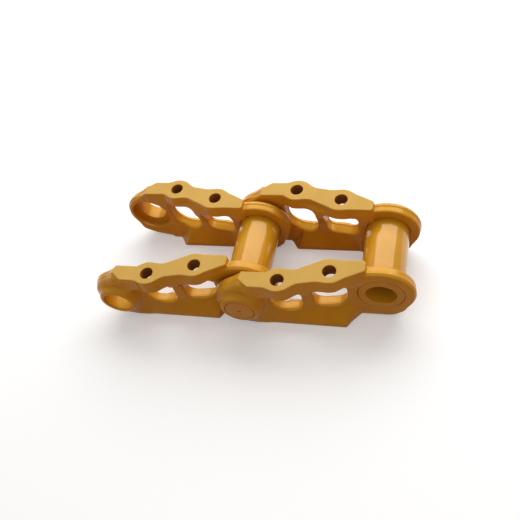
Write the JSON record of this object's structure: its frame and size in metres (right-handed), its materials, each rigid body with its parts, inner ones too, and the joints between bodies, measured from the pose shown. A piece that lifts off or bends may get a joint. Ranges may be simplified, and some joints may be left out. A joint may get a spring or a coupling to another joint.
{
  "type": "excavator track chain",
  "caption": "Short length of excavator track chain: forged offset links with shoe pads, rails and nut windows, joined by a pin turning in a pressed bushing.",
  "frame": {"origin": "centre of the chain's length and width, on the plane of its rails", "axes": "+X along the chain from the open pin ends to the open bushing, +Y to the left links, +Z from the rails to the shoe pads"},
  "size_m": [0.528, 0.23, 0.1185],
  "materials": {
    "yellow_paint": "glossy",
    "thrust_steel": "ground",
    "seal_lip": "smooth",
    "seal_rubber": "matte"
  },
  "bodies": {
    "pair_1": {"link_1_right": "yellow_paint", "link_1_left": "yellow_paint", "bushing_1": "yellow_paint"},
    "pair_2": {"link_2_right": "yellow_paint", "link_2_left": "yellow_paint", "bushing_2": "yellow_paint", "track_pin": "yellow_paint", "seal_lip_right": "seal_lip", "seal_lip_left": "seal_lip", "load_ring_right": "seal_rubber", "load_ring_left": "seal_rubber"},
    "ring_right": {"thrust_ring_right": "thrust_steel"},
    "ring_left": {"thrust_ring_left": "thrust_steel"}
  },
  "joints": [
    {"name": "chain_pivot", "type": "hinge", "parent": "pair_1", "child": "pair_2", "pos_m": [-0.004, 0, 0.061], "axis": [0, 1, 0], "range_deg": [-30, 40]},
    {"name": "thrust_ring_right_spin", "type": "hinge", "parent": "pair_2", "child": "ring_right", "pos_m": [-0.004, 0, 0.061], "axis": [0, 1, 0], "continuous": true},
    {"name": "thrust_ring_left_spin", "type": "hinge", "parent": "pair_2", "child": "ring_left", "pos_m": [-0.004, 0, 0.061], "axis": [0, 1, 0], "continuous": true}
  ]
}
